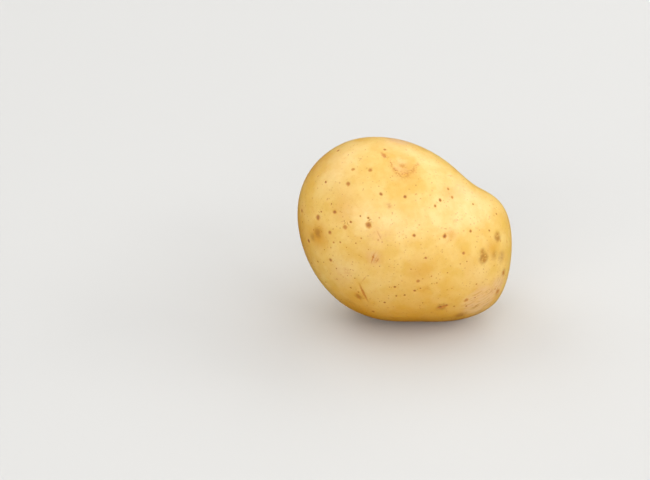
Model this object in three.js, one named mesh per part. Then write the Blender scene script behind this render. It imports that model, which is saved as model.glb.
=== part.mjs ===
// A washed yellow potato: one solid tuber, lying on a small flat spot.
// Millimetres and degrees. +X is the narrow end, -Y the front, +Z up; the flat spot is at z = 0.

import * as THREE from "three";
import { mergeVertices } from "three/addons/utils/BufferGeometryUtils.js";

// Driving dimensions of the tuber, before its swellings and eyes
const LENGTH = 93; // along the long axis
const WIDTH = 72.5; // across it, as the front shows it
const THICKNESS = 65; // from front to back
const LEAN = 33; // how far the long axis rises from level, towards the broad end
const FLAT_DEPTH = 2; // how much of the lowest skin the flat spot takes off
const MESH_DETAIL = 17; // splits along each edge of the icosahedron

// A place on the skin is a turn and a rise, seen from the middle of the tuber:
// turn 0 is the front, 90 the narrow right end and -90 the broad left end; rise 90 is the top.
// Spread is the angle over which a swelling fades, and height is negative for a hollow.
const SWELLINGS = [
  { name: "saddle above the narrow end", turn: 108, rise: 37, spread: 16, height: -3.7 },
  { name: "slope down to the saddle", turn: 132, rise: 52, spread: 18, height: -1.0 },
  { name: "saddle running down the front", turn: 50, rise: 42, spread: 20, height: -0.9 },
  { name: "shoulder of the narrow end", turn: 95, rise: 10, spread: 20, height: 2.3 },
  { name: "top of that shoulder", turn: 92, rise: 22, spread: 13, height: 1.5 },
  { name: "cheek under the narrow end", turn: 72, rise: -38, spread: 20, height: 2.2 },
  { name: "flattened belly", turn: 55, rise: -68, spread: 28, height: -3.2 },
  { name: "heel", turn: -63, rise: -44, spread: 30, height: 1.2 },
  { name: "flattened broad end", turn: -94, rise: 5, spread: 26, height: -1.2 },
  { name: "crown", turn: -130, rise: 58, spread: 32, height: 1.6 },
  { name: "hip at the back", turn: 160, rise: -10, spread: 30, height: 1.2 },
  { name: "hollow flank at the back", turn: -150, rise: -5, spread: 24, height: -1.2 },
];

// Eyes are shallow dimples, in a loose spiral about the long axis; the scar is where the stem was.
const EYES = [
  { turn: -6, rise: 71, depth: 1.1 },
  { turn: -150, rise: 62, depth: 1.2 },
  { turn: -118, rise: 22, depth: 1.3 },
  { turn: -165, rise: 15, depth: 1.1 },
  { turn: 168, rise: 48, depth: 1.2 },
  { turn: 140, rise: 5, depth: 1.1 },
  { turn: -140, rise: -28, depth: 1.1 },
  { turn: 165, rise: -42, depth: 1.0 },
];
const EYE_SPREAD = 7;
const STEM_SCAR = { turn: 118, rise: -18, spread: 7, height: -1.8 };

const SKIN_COLOUR = 0xedc36d;
const SKIN_ROUGHNESS = 0.45;

const UPRIGHT_TO_LONG_AXIS = new THREE.Quaternion().setFromAxisAngle(
  new THREE.Vector3(0, 1, 0),
  THREE.MathUtils.degToRad(-LEAN),
);

// The unit vector from the middle of the tuber to a place on its skin.
function directionTo({ turn, rise }) {
  const around = THREE.MathUtils.degToRad(turn);
  const up = THREE.MathUtils.degToRad(rise);
  return new THREE.Vector3(Math.cos(up) * Math.sin(around), -Math.cos(up) * Math.cos(around), Math.sin(up));
}

// Distance from the middle to the skin of the plain oval.
function ovalReach(outward) {
  const own = outward.clone().applyQuaternion(UPRIGHT_TO_LONG_AXIS);
  own.x /= LENGTH / 2;
  own.y /= THICKNESS / 2;
  own.z /= WIDTH / 2;
  return 1 / own.length();
}

// How far one swelling lifts the skin in a direction.
function lift(outward, swelling) {
  const apart = THREE.MathUtils.radToDeg(outward.angleTo(directionTo(swelling)));
  return swelling.height * Math.exp(-((apart / swelling.spread) ** 2));
}

// A unit ball, with every vertex moved out to the skin.
function tuberGeometry() {
  const ball = new THREE.IcosahedronGeometry(1, MESH_DETAIL);
  ball.deleteAttribute("normal");
  ball.deleteAttribute("uv");
  const geometry = mergeVertices(ball);
  const dimples = EYES.map(({ turn, rise, depth }) => ({ turn, rise, spread: EYE_SPREAD, height: -depth }));
  const features = [...SWELLINGS, ...dimples, STEM_SCAR];
  const points = geometry.getAttribute("position");
  const point = new THREE.Vector3();
  for (let i = 0; i < points.count; i += 1) {
    point.fromBufferAttribute(points, i).normalize();
    const reach = features.reduce((sum, feature) => sum + lift(point, feature), ovalReach(point));
    point.multiplyScalar(reach);
    points.setXYZ(i, point.x, point.y, point.z);
  }
  return geometry;
}

// Presses the lowest skin level, to make the spot that the tuber rests on, and centres it over the origin.
function settle(geometry) {
  geometry.computeBoundingBox();
  const floor = geometry.boundingBox.min.z + FLAT_DEPTH;
  const points = geometry.getAttribute("position");
  for (let i = 0; i < points.count; i += 1) {
    points.setZ(i, Math.max(points.getZ(i), floor));
  }
  const middle = geometry.boundingBox.getCenter(new THREE.Vector3());
  geometry.translate(-middle.x, -middle.y, -floor);
  geometry.computeVertexNormals();
  return geometry;
}

const skin = new THREE.MeshStandardMaterial({ color: SKIN_COLOUR, roughness: SKIN_ROUGHNESS, metalness: 0 });
const potato = new THREE.Mesh(settle(tuberGeometry()), skin);
potato.name = "potato";

const part = new THREE.Group();
part.add(potato);

export default part;
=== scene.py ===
"""One washed yellow potato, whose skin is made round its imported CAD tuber.

Metres, unless a name or comment says otherwise. A place on the skin is a turn and a rise in degrees, seen
from the tuber's centre of mass: turn 0 is the front, 90 the narrow right end and -90 the broad left end,
and rise 90 is the top.
"""

import math

import bpy
import numpy as np
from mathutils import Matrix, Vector
from mathutils.bvhtree import BVHTree


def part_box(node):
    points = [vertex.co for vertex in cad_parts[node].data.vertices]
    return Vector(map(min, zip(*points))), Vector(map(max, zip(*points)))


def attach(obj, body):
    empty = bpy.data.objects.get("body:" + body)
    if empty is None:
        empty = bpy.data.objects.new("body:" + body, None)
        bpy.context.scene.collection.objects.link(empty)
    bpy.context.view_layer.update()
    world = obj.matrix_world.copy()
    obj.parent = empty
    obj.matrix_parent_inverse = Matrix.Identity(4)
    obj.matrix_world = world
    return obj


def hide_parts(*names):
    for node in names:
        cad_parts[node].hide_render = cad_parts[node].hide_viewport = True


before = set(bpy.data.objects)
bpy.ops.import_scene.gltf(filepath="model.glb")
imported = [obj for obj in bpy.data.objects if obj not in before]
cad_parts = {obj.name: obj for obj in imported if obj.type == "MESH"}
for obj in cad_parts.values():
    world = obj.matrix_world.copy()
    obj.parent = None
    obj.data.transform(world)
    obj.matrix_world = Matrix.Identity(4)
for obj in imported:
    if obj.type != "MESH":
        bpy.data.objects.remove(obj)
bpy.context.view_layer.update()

MM = 0.001
NODE = "potato"
LOW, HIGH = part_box(NODE)
SIZE = HIGH - LOW
RANDOM = np.random.default_rng(7)

# ---------------------------------------------------------------- the skin's mesh and relief

GRID = 128  # quads along each edge of the cube that becomes the skin
QUAD = 0.7  # mm across the skin's quads, corner to corner
CAD_FACET = 2.5 * MM  # the size of the CAD tuber's triangles, which smoothing has to hide
FOOT_HEIGHT = 10 * MM  # below this the edge of the flat spot is softened
FOOT_PASSES = 500  # of smoothing, for that edge
MAP_INSET = 0.006  # the share left empty along each edge of a side of the UV map

HILLS = 90  # wide, low hills and hollows in the skin
HILL_SPREAD = (6, 14)  # degrees
HILL_HEIGHT = 0.12  # mm, the usual height of one
PORE_DEPTH = 0.14  # mm
SCRATCH_DEPTH = 0.12  # mm

# Soft folds in the skin: (turn, rise, tilt, half length, half width and height in mm).
FOLDS = [(-22, 24, 82, 11.0, 3.5, 0.3), (26, 30, 60, 12.0, 6.0, -0.25), (120, 0, 70, 14.0, 5.0, 0.3)]

# Eyes lie in the CAD tuber's dimples: (turn, rise, tilt of the brow, width of the brow in mm).
EYES = [
    (-6, 71, 0, 11.0),
    (-150, 62, 160, 9.0),
    (-118, 22, 25, 10.0),
    (-165, 15, -20, 9.0),
    (168, 48, 170, 8.0),
    (140, 5, 30, 8.5),
    (-140, -28, -15, 9.0),
    (165, -42, 10, 8.0),
]
BROW_CURVE = 2.4  # how sharply the arc of a brow turns up
BROW_DROP = 0.45  # how far below the eye's middle the arc lies, as a share of its width
BROW_HEIGHT = 0.3  # mm
PIT_DEPTH = 0.5  # mm
BUD_HEIGHT = 0.35  # mm

STEM_SCAR = (118, -18)
SCAR_RADIUS = 3.2  # mm, of its rim
SCAR_RIM_HEIGHT = 0.35  # mm
SCAR_DEPTH = 0.5  # mm
SCAR_RAGGEDNESS = 0.08  # how far the rim strays from round, as a share of its radius

# ---------------------------------------------------------------- marks on the skin

# Most of the front's marks are where the photograph shows them: points read off it by eye were turned into
# whole degrees on the tuber by a scratch script. The other marks, and all sizes and strengths, are chosen.

# The pores that stand out on the front: (turn, rise, radius in mm, darkness from 0 to 1).
FRONT_PORES = [
    (-90, 54, 0.8, 0.6), (-57, 54, 0.8, 0.4), (-43, 59, 0.9, 0.6), (-68, 40, 0.6, 1.0),
    (-52, 46, 1.0, 0.6), (-24, 48, 0.8, 0.9), (-57, 76, 0.7, 0.7), (-2, 49, 0.8, 0.9), (33, 45, 0.8, 0.9),
    (26, 42, 0.7, 0.7), (-52, 29, 0.9, 0.8), (-62, 22, 1.3, 0.7), (-40, 27, 0.6, 1.0),
    (-28, 28, 1.4, 0.65), (-43, 23, 1.0, 0.4), (-52, 17, 0.9, 0.7), (-68, 6, 1.0, 1.0),
    (-78, 19, 0.9, 0.7), (-51, 0, 0.9, 0.7), (5, 24, 0.8, 0.9), (28, 21, 1.0, 1.0), (49, 19, 0.7, 0.8),
    (64, 14, 0.5, 0.8), (40, 7, 0.8, 0.6), (13, 8, 0.6, 0.8), (8, -9, 0.8, 0.5), (-8, -14, 0.6, 0.9),
    (6, -17, 0.6, 0.9), (-1, -21, 0.5, 0.8), (-7, -22, 0.5, 0.8), (-16, -29, 0.6, 1.0),
    (-28, -41, 0.8, 0.5), (44, -26, 1.0, 0.5), (37, -31, 0.5, 0.7), (27, -32, 1.0, 0.7),
    (31, -30, 0.7, 0.7), (46, -31, 0.5, 0.6), (68, -24, 1.2, 0.5), (71, -14, 1.0, 0.4),
    (47, 44, 0.7, 0.4), (48, 50, 0.7, 0.5), (63, 33, 0.5, 0.8), (77, 19, 0.5, 0.6),
]

# Pores scattered at random: (how many, turn and rise of the middle, degrees they spread to, least and
# most radius in mm, mm kept clear of other pores).
SCATTERED_PORES = [
    (150, 180, -25, 98, 0.3, 1.1, 4.0),  # the hidden sides
    (70, -48, -6, 44, 0.22, 0.55, 2.2),  # the speckled broad end
    (20, 40, -22, 30, 0.22, 0.5, 2.2),  # the belly
]
PORE_STRETCH = 1.1  # how far out of round a pore can be

# Blotches in the skin's colour: (turn, rise, radius in mm, strength).
# The large ochre blotches under the belly and at the broad left end are painted shade: deeper, darker skin
# where the tuber turns away from the light. The small ones are the skin's own ochre tone.
OCHRE_AND_SHADE_BLOTCHES = [
    (10, -66, 27.0, 1.0), (-42, -50, 15.0, 1.0), (55, -54, 14.0, 0.9), (-88, 2, 15.0, 0.9),
    (-95, 38, 12.0, 0.5), (-60, 12, 5.5, 0.8), (-47, 31, 5.0, 0.4), (9, -2, 7.0, 0.5), (-22, 8, 4.0, 0.4),
    (-3, 67, 5.5, 0.6), (-35, -25, 3.5, 0.7), (33, 21, 2.2, 0.7), (61, 3, 4.5, 0.5), (46, 47, 3.5, 0.4),
    (47, -40, 3.5, 0.5), (150, 30, 9.0, 0.6), (-120, -10, 8.0, 0.5), (-170, -20, 9.0, 0.5),
    (160, 70, 8.0, 0.4), (115, 10, 8.0, 0.4),
]
OLIVE_BLOTCHES = [
    (54, 0, 2.4, 1.0), (54, 4, 1.8, 0.7), (69, 8, 2.2, 0.9), (63, -1, 2.6, 0.5), (69, -4, 3.0, 0.6),
    (71, -14, 1.8, 0.9), (-60, 14, 2.6, 0.7), (-64, 10, 2.0, 0.6), (-36, -26, 1.8, 0.7),
    (-46, -34, 3.0, 0.4), (28, -32, 2.6, 0.7), (47, -40, 2.8, 0.8), (68, -25, 2.0, 0.6),
    (-150, 35, 4.0, 0.3), (175, 0, 5.0, 0.25),
]
PALE_BLOTCHES = [
    (-42, -3, 6.0, 0.7), (50, -9, 6.0, 0.6), (-64, 42, 7.0, 0.4), (70, 38, 5.0, 0.6),
    (-100, 62, 9.0, 0.5), (-10, 75, 2.6, 0.9), (130, 50, 8.0, 0.6), (-140, -5, 8.0, 0.5),
    (165, -15, 8.0, 0.5), (-15, -12, 8.0, 0.3),
]
ROSY_BLOTCHES = [
    (-140, 81, 4.0, 0.9), (64, -27, 6.0, 0.6), (-20, 22, 4.0, 0.5), (-22, 6, 3.5, 0.5),
    (62, 46, 3.5, 0.5), (-45, -10, 5.0, 0.4), (-100, 40, 6.0, 0.4), (130, -30, 8.0, 0.5),
    (-160, 40, 6.0, 0.5), (170, -10, 7.0, 0.4),
]

# Scratches, each from one place to another: (turn, rise, turn, rise, width in mm, strength).
SCRATCHES = [
    (-33, -14, -29, -30, 1.3, 1.0), (-37, -23, -35, -29, 1.6, 0.6), (-22, 11, -24, 3, 0.8, 0.9),
    (-19, 8, -21, 4, 0.8, 0.8), (-27, -6, -31, -12, 0.5, 0.5), (-22, 26, -18, 20, 0.5, 0.5),
    (-54, 73, -38, 71, 1.7, 0.95), (24, -33, 33, -30, 1.4, 0.95), (42, -41, 50, -39, 0.7, 0.6),
    (60, 58, 70, 54, 0.5, 0.6), (88, 73, 94, 68, 0.6, 0.5), (150, 20, 162, 28, 0.5, 0.6),
    (-130, 5, -126, -12, 0.6, 0.6), (-178, 62, -165, 55, 0.6, 0.5), (120, 30, 124, 18, 0.5, 0.5),
]

# Scuffed patches of fine parallel streaks: (turn, rise, tilt of the streaks, radius in mm, strength).
SCUFFS = [
    (55, -28, 30, 8.0, 1.0), (66, -20, 60, 5.0, 0.9), (69, -4, 80, 4.0, 0.3), (-22, 9, 70, 3.5, 0.45),
    (-160, 82, 5, 5.0, 0.9), (-100, -25, -40, 7.0, 0.6), (160, -28, 20, 7.0, 0.6), (-175, 25, 60, 6.0, 0.6),
]
SCUFF_LENGTH = 5.0  # mm, of a streak
SCUFF_WIDTH = 0.9  # mm

# ---------------------------------------------------------------- light and camera

FLOOR_COLOUR = (0.64, 0.635, 0.62, 1)
BACKDROP_COLOUR = (0.78, 0.775, 0.76, 1)  # as light as the lit floor
STAGE_RADIUS = 2.0
STAGE_SIDES = 96
BACKDROP_HEIGHT = 1.5

LAMP_DISTANCE = 2.5  # of the soft boxes from the potato's middle
# Soft boxes: (name, turn, rise, width and height, watts).
SOFT_BOXES = [
    ("front_softbox", -12, 23, (2.8, 0.55), 26),
    ("side_softbox", 45, 29, (1.5, 0.55), 13),
    ("right_softbox", 92, 29, (1.75, 0.6), 17),
    ("back_left_softbox", -125, 48, (2.2, 1.2), 15),
    ("back_right_softbox", 145, 42, (2.2, 1.2), 16),
]
SKY = (-15, 72)  # the turn and rise that the broad light from above comes from
SKY_STRENGTH = 0.55
SKY_SPREAD = 80  # degrees across
SURROUND_STRENGTH = 0.465  # of the even light from all sides

CAMERA_RISE = 25  # degrees above level
LENS = 85  # mm
SENSOR = 36  # mm
FRAME_WIDTH = 264.6 * MM  # what the picture spans at the potato
# From the potato to the picture's middle, which is left of it and a little lower
AIM_OFFSET = Vector((-32.5, 0, -4.8)) * MM


# ---------------------------------------------------------------- geometry helpers


def direction(turn, rise):
    """The unit vector from the middle of the tuber to a place."""
    turn, rise = math.radians(turn), math.radians(rise)
    return np.array([math.cos(rise) * math.sin(turn), -math.cos(rise) * math.cos(turn), math.sin(rise)])


def bump(distance, width):
    """A soft hill: 1 at no distance, fading over width."""
    return np.exp(-((distance / width) ** 2))


def triangles(obj):
    """The corner points of every triangle of an object, as an array of (triangle, corner, xyz)."""
    mesh = obj.data
    mesh.calc_loop_triangles()
    corners = np.empty(len(mesh.loop_triangles) * 3, np.int32)
    mesh.loop_triangles.foreach_get("vertices", corners)
    points = np.empty(len(mesh.vertices) * 3, np.float32)
    mesh.vertices.foreach_get("co", points)
    return points.reshape(-1, 3)[corners].reshape(-1, 3, 3).astype(float)


def centre_of_mass(corners):
    """The centre of the volume inside a closed set of triangles."""
    volumes = np.einsum("ij,ij->i", corners[:, 0], np.cross(corners[:, 1], corners[:, 2])) / 6
    return (corners.sum(1) / 4 * volumes[:, None]).sum(0) / volumes.sum()


def cube_sphere(grid):
    """A cube's surface of grid x grid quads a side, blown up to a unit ball.

    Gives the ball's points, its quads, and the place of each quad's corners on a flat map of the six sides.
    """
    steps = np.arange(grid)
    low, high = np.meshgrid(steps, steps, indexing="ij")
    ring = np.stack([low, low + 1, low + 1, low], -1)
    rise = np.stack([high, high, high + 1, high + 1], -1)
    lattices, maps = [], []
    for side in range(6):
        axis, far = side % 3, side // 3
        lattice = np.zeros((grid, grid, 4, 3), int)
        lattice[..., axis] = grid * far
        lattice[..., (axis + 1) % 3] = ring
        lattice[..., (axis + 2) % 3] = rise
        flat = np.stack([ring, rise], -1) / grid
        if not far:
            lattice, flat = lattice[:, :, ::-1], flat[:, :, ::-1]
        flat = MAP_INSET + flat * (1 - 2 * MAP_INSET)
        flat = (flat + [axis, far]) / [3, 2]
        lattices.append(lattice.reshape(-1, 4, 3))
        maps.append(flat.reshape(-1, 4, 2))
    lattice = np.concatenate(lattices)
    code = (lattice[..., 0] * (grid + 1) + lattice[..., 1]) * (grid + 1) + lattice[..., 2]
    unique, quads = np.unique(code, return_inverse=True)
    points = np.stack([unique // (grid + 1) ** 2, unique // (grid + 1) % (grid + 1), unique % (grid + 1)], -1)
    points = np.tan((points * 2 / grid - 1) * math.pi / 4)
    points /= np.linalg.norm(points, axis=1)[:, None]
    return points, quads.reshape(-1, 4), np.concatenate(maps)


def relaxed(points, quads, passes):
    """The points of a mesh of quads, moved halfway to the mean of their neighbours a number of times."""
    start = quads.ravel()
    end = np.roll(quads, -1, axis=1).ravel()
    count = np.bincount(start) + np.bincount(end)
    for _ in range(passes):
        means = [
            (np.bincount(start, axis[end]) + np.bincount(end, axis[start])) / count for axis in points.T
        ]
        points = (points + np.stack(means, -1)) / 2
    return points


def normals(points, quads):
    """The unit normal at each point of a closed mesh of quads."""
    faces = np.cross(points[quads[:, 2]] - points[quads[:, 0]], points[quads[:, 3]] - points[quads[:, 1]])
    corner = quads.ravel()
    total = np.stack([np.bincount(corner, np.repeat(axis, 4)) for axis in faces.T], -1)
    return total / np.linalg.norm(total, axis=1)[:, None]


CAD_TRIANGLES = triangles(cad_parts[NODE])
MIDDLE = centre_of_mass(CAD_TRIANGLES)
CAD_TREE = BVHTree.FromPolygons(
    CAD_TRIANGLES.reshape(-1, 3).tolist(), np.arange(len(CAD_TRIANGLES) * 3).reshape(-1, 3).tolist()
)


def cad_reach(outward):
    """How far the CAD tuber's skin is from its middle, in one direction."""
    hit, _, _, _ = CAD_TREE.ray_cast(Vector(MIDDLE), Vector(outward))
    return (np.array(hit) - MIDDLE) @ outward


def skin_frame(place):
    """The point on the skin at a place, and unit vectors right and up along it as seen from outside."""
    outward = direction(*place)
    point = MIDDLE + outward * cad_reach(outward)
    right = np.cross([0, 0, 1], outward)
    right /= np.linalg.norm(right)
    return point, right, np.cross(outward, right)


def local(points, place, tilt=0):
    """Where points lie from a place, in mm: to the right, up, and the straight distance.

    Right and up run along the skin, turned by tilt.
    """
    origin, right, up = skin_frame(place)
    across, along = math.cos(math.radians(tilt)), math.sin(math.radians(tilt))
    apart = (points - origin) / MM
    x = apart @ (right * across + up * along)
    y = apart @ (up * across - right * along)
    return x, y, np.linalg.norm(apart, axis=1)


# ---------------------------------------------------------------- relief, in mm


def undulation(outward):
    """Slight unevenness: many wide, low hills and hollows."""
    lifts = np.zeros(len(outward))
    for _ in range(HILLS):
        centre = RANDOM.normal(size=3)
        centre /= np.linalg.norm(centre)
        spread = math.radians(RANDOM.uniform(*HILL_SPREAD))
        height = RANDOM.normal() * HILL_HEIGHT
        lifts += height * np.exp((outward @ centre - 1) / spread**2)
    return lifts


def fold_relief(points):
    """The soft folds, which stand up, or are shallow troughs where the height is negative."""
    lifts = np.zeros(len(points))
    for turn, rise, tilt, length, width, height in FOLDS:
        x, y, distance = local(points, (turn, rise), tilt)
        lifts += height * bump(x, length) * bump(y, width) * bump(distance, 2 * length)
    return lifts


def brow_line(x, width):
    """The height of an eye's brow in its own coordinates: an arc that opens upward."""
    return width * (BROW_CURVE * (x / width) ** 2 - BROW_DROP)


def eye_relief(points, turn, rise, tilt, width):
    """One eye: a brow that curves round a small pit with a bud in it."""
    x, y, distance = local(points, (turn, rise), tilt)
    brow = BROW_HEIGHT * bump(y - brow_line(x, width), 1.4) * bump(x, width * 0.5)
    pit = -PIT_DEPTH * bump(np.hypot(x, 1.4 * y), width * 0.2)
    bud = BUD_HEIGHT * bump(np.hypot(x, y - 0.06 * width), 1.1)
    return (brow + pit + bud) * bump(distance, width)


def scar_relief(points):
    """The stem scar: a small sunken disc with a raised, broken rim."""
    x, y, distance = local(points, STEM_SCAR)
    ragged = distance * (1 + SCAR_RAGGEDNESS * np.sin(5 * np.arctan2(y, x)))
    rim = SCAR_RIM_HEIGHT * bump(ragged - SCAR_RADIUS, 0.9)
    return rim - SCAR_DEPTH * bump(ragged, 2.2)


def mark_relief(marks, depth):
    """The dents of one kind of elliptical mark."""
    return -depth * marks[:, 2] * bump(np.hypot(marks[:, 0], marks[:, 1]), 1)


# ---------------------------------------------------------------- marks


def scattered_pores(taken, count, turn, rise, reach, least, most, clearance):
    """Pores at random round a place, clear of each other and of the directions already taken."""
    middle = direction(turn, rise)
    found = []
    while len(found) < count:
        outward = RANDOM.normal(size=3)
        outward /= np.linalg.norm(outward)
        crowded = max(outward @ other for other in taken) > math.cos(clearance * MM / (SIZE.z / 2))
        if outward @ middle < math.cos(math.radians(reach)) or crowded:
            continue
        taken.append(outward)
        found_turn = math.degrees(math.atan2(outward[0], -outward[1]))
        found_rise = math.degrees(math.asin(outward[2]))
        radius = least + (most - least) * RANDOM.random() ** 2
        found.append((found_turn, found_rise, radius, RANDOM.uniform(0.2, 1)))
    return found


def pore_ellipses():
    """Every pore as an ellipse on the skin, each a little out of round."""
    pores = list(FRONT_PORES)
    taken = [direction(turn, rise) for turn, rise, _, _ in FRONT_PORES]
    for scatter in SCATTERED_PORES:
        pores += scattered_pores(taken, *scatter)
    ellipses = []
    for turn, rise, radius, darkness in pores:
        point, right, up = skin_frame((turn, rise))
        tilt = RANDOM.uniform(0, math.pi)
        stretch = RANDOM.uniform(1, PORE_STRETCH)
        along = right * math.cos(tilt) + up * math.sin(tilt)
        across = up * math.cos(tilt) - right * math.sin(tilt)
        ellipses.append((point, along, across, radius * stretch, radius / stretch, darkness))
    return ellipses


def scratch_ellipses():
    """Every scratch as a long thin ellipse on the skin."""
    ellipses = []
    for turn, rise, end_turn, end_rise, width, strength in SCRATCHES:
        start = skin_frame((turn, rise))[0]
        end = skin_frame((end_turn, end_rise))[0]
        length = np.linalg.norm(end - start)
        along = (end - start) / length
        across = np.cross(along, (start + end) / 2 - MIDDLE)
        across /= np.linalg.norm(across)
        ellipses.append(((start + end) / 2, along, across, length / MM / 2, width / 2, strength))
    return ellipses


def ellipse_field(points, ellipses):
    """For each point, its place against the nearest ellipse, and that ellipse's strength.

    The place is in the ellipse's own coordinates, where its edge is the unit circle. The strength is 0 well
    outside the ellipse, where a quad can mix the coordinates of two.
    """
    field = np.zeros((len(points), 3))
    nearest = np.full(len(points), np.inf)
    for centre, along, across, half_length, half_width, strength in ellipses:
        apart = (points - centre) / MM
        x, y = apart @ along, apart @ across
        deep = np.sqrt(np.maximum((apart**2).sum(1) - x**2 - y**2, 0))
        beyond = np.maximum(np.abs(x) - half_length, 0)
        beside = np.maximum(np.abs(y) - half_width, 0)
        away = np.hypot(beyond, beside) + deep
        here = away < nearest
        nearest[here] = away[here]
        near = away < 0.4 * half_width + QUAD
        placed = np.stack([x / half_length, y / half_width, strength * near], -1)
        field[here] = placed[here]
    return field


def scuff_field(points):
    """For each point, how far along and across the streaks it is in mm, and how scuffed it is."""
    field = np.zeros((len(points), 3))
    for turn, rise, tilt, radius, strength in SCUFFS:
        x, y, distance = local(points, (turn, rise), tilt)
        faded = strength * bump(distance, radius)
        here = faded > field[:, 2]
        field[here] = np.stack([x, y, faded], -1)[here]
    return field


def blotch_field(points, blotches):
    """How strongly each point lies in a set of soft round blotches."""
    field = np.zeros(len(points))
    for turn, rise, radius, strength in blotches:
        distance = local(points, (turn, rise))[2]
        field = np.maximum(field, strength * bump(distance, radius))
    return field


def eye_fields(points):
    """How strongly each point lies on an eye's brow or the scar's rim, and in a pit."""
    brows = np.zeros(len(points))
    pits = np.zeros(len(points))
    for turn, rise, tilt, width in EYES:
        x, y, distance = local(points, (turn, rise), tilt)
        near = bump(distance, width * 0.7)
        brows = np.maximum(brows, bump(y - brow_line(x, width), 1.7) * near)
        pits = np.maximum(pits, bump(np.hypot(x, 1.3 * y), width * 0.16))
    distance = local(points, STEM_SCAR)[2]
    brows = np.maximum(brows, bump(distance - SCAR_RADIUS, 1.2))
    pits = np.maximum(pits, 1.5 * bump(distance, 2.6))
    return brows, pits


# ---------------------------------------------------------------- the skin


def smooth_form(outward, quads):
    """The CAD tuber's form on the fine mesh, without its facets and with the flat spot's edge softened."""
    reach = np.array([cad_reach(unit) for unit in outward])
    spacing = math.pi / 2 / GRID * reach.mean()
    points = relaxed(MIDDLE + outward * reach[:, None], quads, round(2 * (CAD_FACET / spacing) ** 2))
    softened = relaxed(points, quads, FOOT_PASSES)
    share = np.clip(1 - (points[:, 2:] - LOW.z) / FOOT_HEIGHT, 0, 1)
    points += (softened - points) * share
    points[:, 2:] -= (points[:, 2].min() - LOW.z) * share
    return points


def store(mesh, name, values):
    """Keeps one number, or three, for each of the mesh's points, for the material to read."""
    kind, slot = ("FLOAT", "value") if values.ndim == 1 else ("FLOAT_VECTOR", "vector")
    mesh.attributes.new(name, kind, "POINT").data.foreach_set(slot, values.astype(np.float32).ravel())


def skin_mesh(points, quads, flat_map, fields):
    """The mesh, with its flat map and the fields that its material reads."""
    mesh = bpy.data.meshes.new("potato_skin")
    mesh.from_pydata(points.tolist(), [], quads.tolist())
    uv = mesh.uv_layers.new(name="OFBake")
    uv.data.foreach_set("uv", flat_map.astype(np.float32).ravel())
    for name, values in fields.items():
        store(mesh, name, values)
    mesh.shade_smooth()
    mesh.update()
    return mesh


def skin_object():
    """The potato's skin: the tuber's smooth form, with its eyes, pores and unevenness."""
    outward, quads, flat_map = cube_sphere(GRID)
    points = smooth_form(outward, quads)
    outward = points - MIDDLE
    outward /= np.linalg.norm(outward, axis=1)[:, None]

    pores = ellipse_field(points, pore_ellipses())
    scratches = ellipse_field(points, scratch_ellipses())
    brows, pits = eye_fields(points)
    fields = {
        "pore": pores,
        "scratch": scratches,
        "scuff": scuff_field(points),
        "eye_brow": brows,
        "eye_pit": pits,
        "ochre_and_shade": blotch_field(points, OCHRE_AND_SHADE_BLOTCHES),
        "olive": blotch_field(points, OLIVE_BLOTCHES),
        "pale": blotch_field(points, PALE_BLOTCHES),
        "rosy": blotch_field(points, ROSY_BLOTCHES),
    }

    lifts = undulation(outward) + fold_relief(points) + scar_relief(points)
    for eye in EYES:
        lifts += eye_relief(points, *eye)
    lifts += mark_relief(pores, PORE_DEPTH)
    lifts += mark_relief(scratches, SCRATCH_DEPTH)
    points += normals(points, quads) * (lifts * MM)[:, None]
    points[:, 2] = np.maximum(points[:, 2], LOW.z)

    skin = bpy.data.objects.new("potato_skin", skin_mesh(points, quads, flat_map, fields))
    bpy.context.scene.collection.objects.link(skin)
    return skin


# ---------------------------------------------------------------- materials


def srgb(*levels):
    """A colour from 0-255 screen levels, as the linear values that shaders take."""
    linear = []
    for level in levels:
        share = level / 255
        linear.append(((share + 0.055) / 1.055) ** 2.4 if share > 0.04045 else share / 12.92)
    return (*linear, 1)


CREAM = srgb(241, 202, 113)
STRAW = srgb(233, 187, 82)
# Ochre is the skin's own tone, and also the painted shade under the belly and at the broad left end.
OCHRE_AND_SHADE = srgb(216, 149, 0)
OLIVE = srgb(178, 118, 24)
PALE = srgb(240, 204, 128)
ROSY = srgb(230, 174, 104)
SPECK = srgb(196, 118, 0)
PORE_HALO = srgb(206, 132, 14)
PORE_CORE = srgb(146, 76, 0)
SCAR_BROWN = srgb(200, 118, 10)
SCUFF_GREY = srgb(230, 188, 138)
SCUFF_BROWN = srgb(180, 120, 62)
BLACK = (0, 0, 0, 1)

# The size in mm of the clouds in the skin's colour
BROAD_CLOUDS = 16
CLOUDS = 6
MOTTLE = 1.4
RIPPLE = 0.9
RIPPLE_SHIFT = 0.9 * MM  # the ripple moves the finer patterns by up to half of this
EYE_SPECKLE = 0.8
GRAIN = 0.45

# Specks and small pores: (spacing, radius) in mm
SPECKS = (1.7, 0.36)
SMALL_PORES = (3.6, 0.5)

# The light that goes through the skin: how much, how far in each colour, and over what distance
SUBSURFACE_SHARE = 0.12
SUBSURFACE_RADII = (1.0, 0.5, 0.15)
SUBSURFACE_DISTANCE = 3 * MM

# How uneven the edges of pores and scratches are, as a share of their size
PORE_RAGGEDNESS = 0.6
SCRATCH_RAGGEDNESS = 1.2

# The gloss: its strength, its roughness, and what the mottling, streaks and pores add to that
GLOSS = 1.0
ROUGHNESS = 0.33
MOTTLE_ROUGHNESS = 0.12
STREAK_ROUGHNESS = 0.2
PORE_ROUGHNESS = 0.4

# The fine relief in mm
MOTTLE_HEIGHT = 0.1
STREAK_HEIGHT = 0.08
FINE_PORE_DEPTH = 0.08
SMALL_PORE_DEPTH = 0.05
FINE_SCRATCH_DEPTH = 0.06


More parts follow.
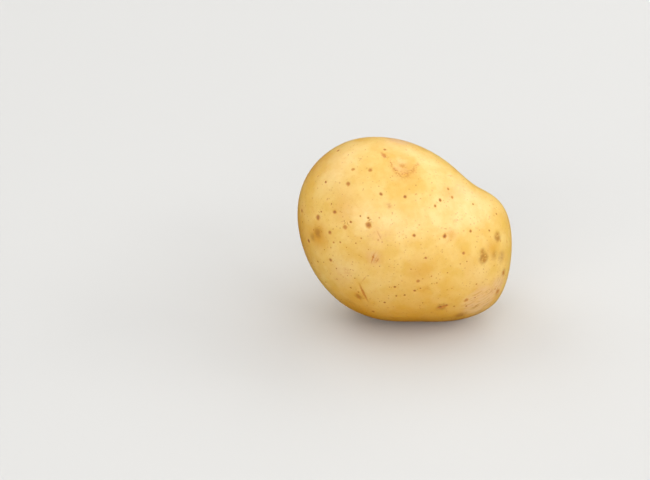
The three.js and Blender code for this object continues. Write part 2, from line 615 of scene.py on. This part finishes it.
class Nodes:
    """Short calls that add shader nodes to one material and return the socket that matters."""

    def __init__(self, name):
        self.material = bpy.data.materials.new(name)
        self.material.use_nodes = True
        self.tree = self.material.node_tree
        self.shader = self.tree.nodes["Principled BSDF"]

    def feed(self, socket, value):
        """Links a socket's value, or sets a constant one."""
        if isinstance(value, bpy.types.NodeSocket):
            self.tree.links.new(value, socket)
        else:
            socket.default_value = value

    def finish(self, **inputs):
        """Feeds the shader's inputs, given by name with _ for each space."""
        for name, value in inputs.items():
            self.feed(self.shader.inputs[name.replace("_", " ")], value)

    def node(self, kind, **settings):
        """A new node with some of its settings changed."""
        node = self.tree.nodes.new(kind)
        for name, value in settings.items():
            setattr(node, name, value)
        return node

    def place(self):
        """The point that is shaded, in metres."""
        return self.node("ShaderNodeTexCoord").outputs["Object"]

    def field(self, name):
        """One number kept on the mesh."""
        return self.node("ShaderNodeAttribute", attribute_name=name).outputs["Fac"]

    def fields(self, name):
        """Three numbers kept on the mesh."""
        return self.node("ShaderNodeAttribute", attribute_name=name).outputs["Vector"]

    def part(self, vector, axis):
        """One of a vector's X, Y and Z."""
        node = self.node("ShaderNodeSeparateXYZ")
        self.feed(node.inputs[0], vector)
        return node.outputs[axis]

    def maths(self, operation, first, second, clamp=False):
        """A calculation on two numbers, kept from 0 to 1 where clamp is set."""
        node = self.node("ShaderNodeMath", operation=operation, use_clamp=clamp)
        self.feed(node.inputs[0], first)
        self.feed(node.inputs[1], second)
        return node.outputs[0]

    def times(self, first, second):
        return self.maths("MULTIPLY", first, second)

    def vector(self, operation, first, second):
        """A calculation on two vectors, or on a vector and its scale."""
        node = self.node("ShaderNodeVectorMath", operation=operation)
        self.feed(node.inputs[0], first)
        self.feed(node.inputs["Scale" if operation == "SCALE" else 1], second)
        return node.outputs[0]

    def length(self, vector):
        node = self.node("ShaderNodeVectorMath", operation="LENGTH")
        self.feed(node.inputs[0], vector)
        return node.outputs["Value"]

    def ramp(self, value, low, high):
        """0 at low, 1 at high, and smooth between them. Low may be above high."""
        node = self.node("ShaderNodeMapRange", interpolation_type="SMOOTHSTEP")
        self.feed(node.inputs["Value"], value)
        node.inputs["From Min"].default_value = min(low, high)
        node.inputs["From Max"].default_value = max(low, high)
        node.inputs["To Min"].default_value = 0 if low < high else 1
        node.inputs["To Max"].default_value = 1 if low < high else 0
        return node.outputs["Result"]

    def noise(self, place, size_mm, detail=2.0, roughness=0.5, output="Fac"):
        """Cloudy noise from 0 to 1, with clouds of about this size."""
        node = self.node("ShaderNodeTexNoise")
        self.feed(node.inputs["Vector"], place)
        node.inputs["Scale"].default_value = 1 / (size_mm * MM)
        node.inputs["Detail"].default_value = detail
        node.inputs["Roughness"].default_value = roughness
        return node.outputs[output]

    def specks(self, place, spacing_mm, radius_mm):
        """Small round specks, 1 in the middle and 0 past the radius."""
        node = self.node("ShaderNodeTexVoronoi")
        self.feed(node.inputs["Vector"], place)
        node.inputs["Scale"].default_value = 1 / (spacing_mm * MM)
        return self.ramp(node.outputs["Distance"], radius_mm / spacing_mm, 0.3 * radius_mm / spacing_mm)

    def mix(self, share, first, second):
        """The first colour where share is 0, and the second where it is 1."""
        node = self.node("ShaderNodeMix", data_type="RGBA")
        self.feed(node.inputs["Factor"], share)
        self.feed(node.inputs[6], first)
        self.feed(node.inputs[7], second)
        return node.outputs[2]

    def blend(self, share, most, first, second):
        """The first colour with up to most of the second laid over it."""
        return self.mix(self.times(share, most), first, second)


def base_colour(nodes, place, cloudy, mottle):
    """Straw and cream in clouds of several sizes, with the blotches, all broken up by the mottling. The ochre
    blotches also lay painted shade under the belly and at the broad left end.
    """
    broad = nodes.noise(place, BROAD_CLOUDS)
    grain = nodes.noise(place, GRAIN)
    torn = nodes.ramp(mottle, 0.3, 0.62)
    colour = nodes.mix(nodes.ramp(cloudy, 0.3, 0.7), STRAW, CREAM)
    colour = nodes.blend(nodes.ramp(broad, 0.5, 0.72), 0.22, colour, OCHRE_AND_SHADE)
    # Ochre blotches: the skin's own tone, and painted shade under the belly and at the broad left end.
    colour = nodes.mix(nodes.field("ochre_and_shade"), colour, OCHRE_AND_SHADE)
    colour = nodes.mix(nodes.times(nodes.field("pale"), nodes.ramp(cloudy, 0.2, 0.5)), colour, PALE)
    colour = nodes.mix(nodes.times(nodes.field("rosy"), torn), colour, ROSY)
    olive = nodes.times(nodes.ramp(nodes.field("olive"), 0.1, 0.8), nodes.ramp(mottle, 0.2, 0.55))
    colour = nodes.blend(olive, 0.88, colour, OLIVE)
    colour = nodes.blend(nodes.ramp(mottle, 0.55, 0.8), 0.3, colour, OCHRE_AND_SHADE)
    return nodes.blend(nodes.ramp(grain, 0.58, 0.8), 0.22, colour, OLIVE)


def eye_colour(nodes, wavering, mottle, colour):
    """Lays over a colour the fine orange-brown speckle of the eyes and the stem scar."""
    speckle = nodes.ramp(nodes.noise(wavering, EYE_SPECKLE, detail=1), 0.44, 0.58)
    colour = nodes.blend(nodes.times(nodes.field("eye_brow"), speckle), 0.95, colour, SCAR_BROWN)
    pit = nodes.maths("MULTIPLY", nodes.field("eye_pit"), nodes.ramp(mottle, 0.35, 0.65), clamp=True)
    return nodes.blend(pit, 0.6, colour, SCAR_BROWN)


def scuff_colour(nodes, colour):
    """Lays the scuffs' pale and brown streaks over a colour. Also gives the streaks, for the relief."""
    scuff = nodes.fields("scuff")
    stretched = nodes.vector("MULTIPLY", scuff, (1 / SCUFF_LENGTH, 1 / SCUFF_WIDTH, 0))
    streaks = nodes.noise(stretched, 1 / MM)
    amount = nodes.part(scuff, "Z")
    pale = nodes.times(nodes.ramp(amount, 0.1, 0.7), nodes.ramp(streaks, 0.3, 0.6))
    brown = nodes.times(nodes.ramp(amount, 0.25, 0.8), nodes.ramp(streaks, 0.46, 0.34))
    colour = nodes.blend(pale, 0.75, colour, SCUFF_GREY)
    return nodes.blend(brown, 0.55, colour, SCUFF_BROWN), nodes.times(streaks, amount)


def speck_colour(nodes, wavering, cloudy, colour):
    """Lays over a colour faint specks in loose clusters, and small pores. Also gives the small pores."""
    clusters = nodes.ramp(cloudy, 0.35, 0.6)
    colour = nodes.blend(nodes.times(nodes.specks(wavering, *SPECKS), clusters), 0.8, colour, SPECK)
    small_pores = nodes.specks(wavering, *SMALL_PORES)
    return nodes.blend(small_pores, 0.6, colour, SPECK), small_pores


def ellipse(nodes, name, ripple, raggedness):
    """How far a point is from its nearest mark's middle, 1 at the mark's edge, and the mark's strength."""
    mark = nodes.fields(name)
    strength = nodes.part(mark, "Z")
    shift = nodes.vector("MULTIPLY", ripple, (raggedness, raggedness, 0))
    shifted = nodes.vector("ADD", nodes.vector("MULTIPLY", mark, (1, 1, 0)), shift)
    return nodes.length(shifted), strength


def scratch_colour(nodes, ripple, colour):
    """Lays the scratches over a colour. Also gives them, for the relief."""
    radius, strength = ellipse(nodes, "scratch", ripple, SCRATCH_RAGGEDNESS)
    scratched = nodes.times(nodes.ramp(radius, 1.3, 0.3), strength)
    return nodes.blend(scratched, 0.85, colour, SCAR_BROWN), scratched


def pore_colour(nodes, ripple, colour):
    """Lays the pores over a colour, each a brown core in an orange halo. Also gives both."""
    radius, strength = ellipse(nodes, "pore", ripple, PORE_RAGGEDNESS)
    halo = nodes.times(nodes.ramp(radius, 1.25, 0.6), nodes.ramp(strength, 0, 0.3))
    core = nodes.times(nodes.ramp(radius, 0.85, 0.25), strength)
    colour = nodes.blend(halo, 0.7, colour, PORE_HALO)
    return nodes.blend(core, 0.9, colour, PORE_CORE), halo, core


def fine_relief(nodes, *layers):
    """The normal of a surface that each (pattern, height in mm) raises, or cuts with a height below 0."""
    total = 0.0
    for pattern, height in layers:
        total = nodes.maths("ADD", total, nodes.times(pattern, height))
    relief = nodes.node("ShaderNodeBump")
    relief.inputs["Distance"].default_value = MM
    relief.inputs["Strength"].default_value = 1.0
    nodes.feed(relief.inputs["Height"], total)
    return relief.outputs["Normal"]


def skin_roughness(nodes, mottle, streaks, halo):
    """An uneven gloss, duller on the mottling, the scuffs and the pores."""
    rough = nodes.maths("ADD", ROUGHNESS, nodes.times(mottle, MOTTLE_ROUGHNESS))
    rough = nodes.maths("ADD", rough, nodes.times(streaks, STREAK_ROUGHNESS))
    return nodes.maths("ADD", rough, nodes.times(halo, PORE_ROUGHNESS), clamp=True)


def skin_material():
    """Washed potato skin: mottled straw and cream, blotches, pores, scuffs, and a soft uneven gloss."""
    nodes = Nodes("potato_skin")
    place = nodes.place()
    ripple = nodes.vector("SUBTRACT", nodes.noise(place, RIPPLE, output="Color"), (0.5, 0.5, 0.5))
    wavering = nodes.vector("ADD", place, nodes.vector("SCALE", ripple, RIPPLE_SHIFT))
    cloudy = nodes.noise(place, CLOUDS, detail=3, roughness=0.6)
    mottle = nodes.noise(place, MOTTLE, detail=3, roughness=0.6)

    colour = base_colour(nodes, place, cloudy, mottle)
    colour = eye_colour(nodes, wavering, mottle, colour)
    colour, streaks = scuff_colour(nodes, colour)
    colour, small_pores = speck_colour(nodes, wavering, cloudy, colour)
    colour, scratched = scratch_colour(nodes, ripple, colour)
    colour, halo, core = pore_colour(nodes, ripple, colour)
    relief = fine_relief(
        nodes,
        (mottle, MOTTLE_HEIGHT),
        (streaks, STREAK_HEIGHT),
        (core, -FINE_PORE_DEPTH),
        (small_pores, -SMALL_PORE_DEPTH),
        (scratched, -FINE_SCRATCH_DEPTH),
    )
    nodes.finish(Base_Color=colour, Roughness=skin_roughness(nodes, mottle, streaks, halo), Normal=relief)
    nodes.finish(Subsurface_Weight=SUBSURFACE_SHARE, Subsurface_Radius=SUBSURFACE_RADII)
    nodes.finish(Subsurface_Scale=SUBSURFACE_DISTANCE, Specular_IOR_Level=GLOSS)
    return nodes.material


def floor_material():
    """A matte pale floor."""
    nodes = Nodes("pale_floor")
    nodes.finish(Base_Color=FLOOR_COLOUR, Roughness=1.0, Specular_IOR_Level=0.0)
    return nodes.material


def backdrop_material():
    """An even pale glow."""
    nodes = Nodes("pale_backdrop")
    nodes.finish(Base_Color=BLACK, Specular_IOR_Level=0.0)
    nodes.finish(Emission_Color=BACKDROP_COLOUR, Emission_Strength=1.0)
    return nodes.material


# ---------------------------------------------------------------- stage


def stage_object(name, points, faces, material):
    """A piece of the stage, which the potato's gloss doesn't show."""
    mesh = bpy.data.meshes.new(name)
    mesh.from_pydata(points, [], faces)
    mesh.materials.append(material)
    piece = bpy.data.objects.new(name, mesh)
    bpy.context.scene.collection.objects.link(piece)
    piece.visible_glossy = False
    return piece


def floor_and_backdrop():
    """A round floor, and round it a wall that only the camera sees, so it neither lights nor shades."""
    turns = [2 * math.pi * i / STAGE_SIDES for i in range(STAGE_SIDES)]
    ring = [(STAGE_RADIUS * math.cos(turn), STAGE_RADIUS * math.sin(turn), LOW.z) for turn in turns]
    top = [(x, y, z + BACKDROP_HEIGHT) for x, y, z in ring]
    stage_object("floor", ring, [range(STAGE_SIDES)], floor_material())
    edges = [(i, (i + 1) % STAGE_SIDES) for i in range(STAGE_SIDES)]
    walls = [(start, end, end + STAGE_SIDES, start + STAGE_SIDES) for start, end in edges]
    backdrop = stage_object("backdrop", ring + top, walls, backdrop_material())
    backdrop.visible_diffuse = False
    backdrop.visible_shadow = False


def lamp(name, kind, strength, towards):
    """A lamp at the potato's middle that shines in one direction."""
    data = bpy.data.lights.new(name, kind)
    data.energy = strength
    light = bpy.data.objects.new(name, data)
    bpy.context.scene.collection.objects.link(light)
    light.location = MIDDLE
    light.rotation_euler = towards.to_track_quat("-Z", "Y").to_euler()
    return light


def soft_box(name, turn, rise, size, watts):
    """A soft box that shines on the potato from one direction."""
    outward = Vector(direction(turn, rise))
    light = lamp(name, "AREA", watts, -outward)
    light.location += outward * LAMP_DISTANCE
    light.data.shape = "RECTANGLE"
    light.data.size, light.data.size_y = size


def studio_light():
    """An even pale surround with a broad light above, and soft boxes for the sheen and the rims."""
    for box in SOFT_BOXES:
        soft_box(*box)
    sky = lamp("sky", "SUN", SKY_STRENGTH, -Vector(direction(*SKY)))
    sky.data.angle = math.radians(SKY_SPREAD)
    world = bpy.data.worlds.new("studio")
    bpy.context.scene.world = world
    world.use_nodes = True
    background = world.node_tree.nodes["Background"]
    background.inputs["Color"].default_value = (1, 1, 1, 1)
    background.inputs["Strength"].default_value = SURROUND_STRENGTH
    world.cycles_visibility.glossy = False


def photo_camera():
    """A camera in front that looks a little down."""
    data = bpy.data.cameras.new("camera")
    data.lens = LENS
    data.sensor_width = SENSOR
    camera = bpy.data.objects.new("camera", data)
    bpy.context.scene.collection.objects.link(camera)
    back = Vector(direction(0, CAMERA_RISE))
    camera.location = (LOW + HIGH) / 2 + AIM_OFFSET + back * FRAME_WIDTH * LENS / SENSOR
    camera.rotation_euler = (-back).to_track_quat("-Z", "Y").to_euler()
    bpy.context.scene.camera = camera


skin = skin_object()
skin.data.materials.append(skin_material())
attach(skin, "root")
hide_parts(NODE)

floor_and_backdrop()
studio_light()
photo_camera()
bpy.context.scene.view_settings.view_transform = "Standard"
